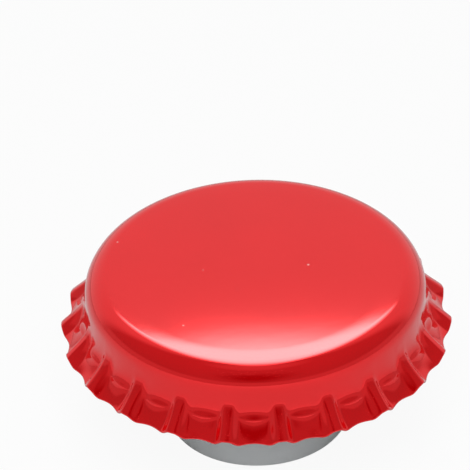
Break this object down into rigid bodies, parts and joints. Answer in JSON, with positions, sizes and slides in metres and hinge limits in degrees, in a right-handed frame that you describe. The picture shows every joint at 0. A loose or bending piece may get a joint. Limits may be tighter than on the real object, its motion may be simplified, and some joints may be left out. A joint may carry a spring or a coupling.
{
  "type": "bottle crown cap with sediment cup",
  "caption": "Fluted metal crown cap with a moulded sealing liner and a plastic sediment cup that plugs a bottle's neck.",
  "frame": {"origin": "centre of the cup's mouth rim, on the surface that the cap stands on", "axes": "+Z along the cap's axis, up through the top panel; -Y is the front, where a groove faces; +X runs through a ridge"},
  "size_m": [0.032, 0.0318, 0.0147],
  "materials": {
    "lacquered_shell": "glossy red lacquer outside, silvery inside",
    "white_liner": "satin white",
    "translucent_cup": "milky translucent"
  },
  "bodies": {
    "root": {"crown_shell": "lacquered_shell", "sealing_liner": "white_liner", "sediment_cup": "translucent_cup"}
  },
  "joints": []
}
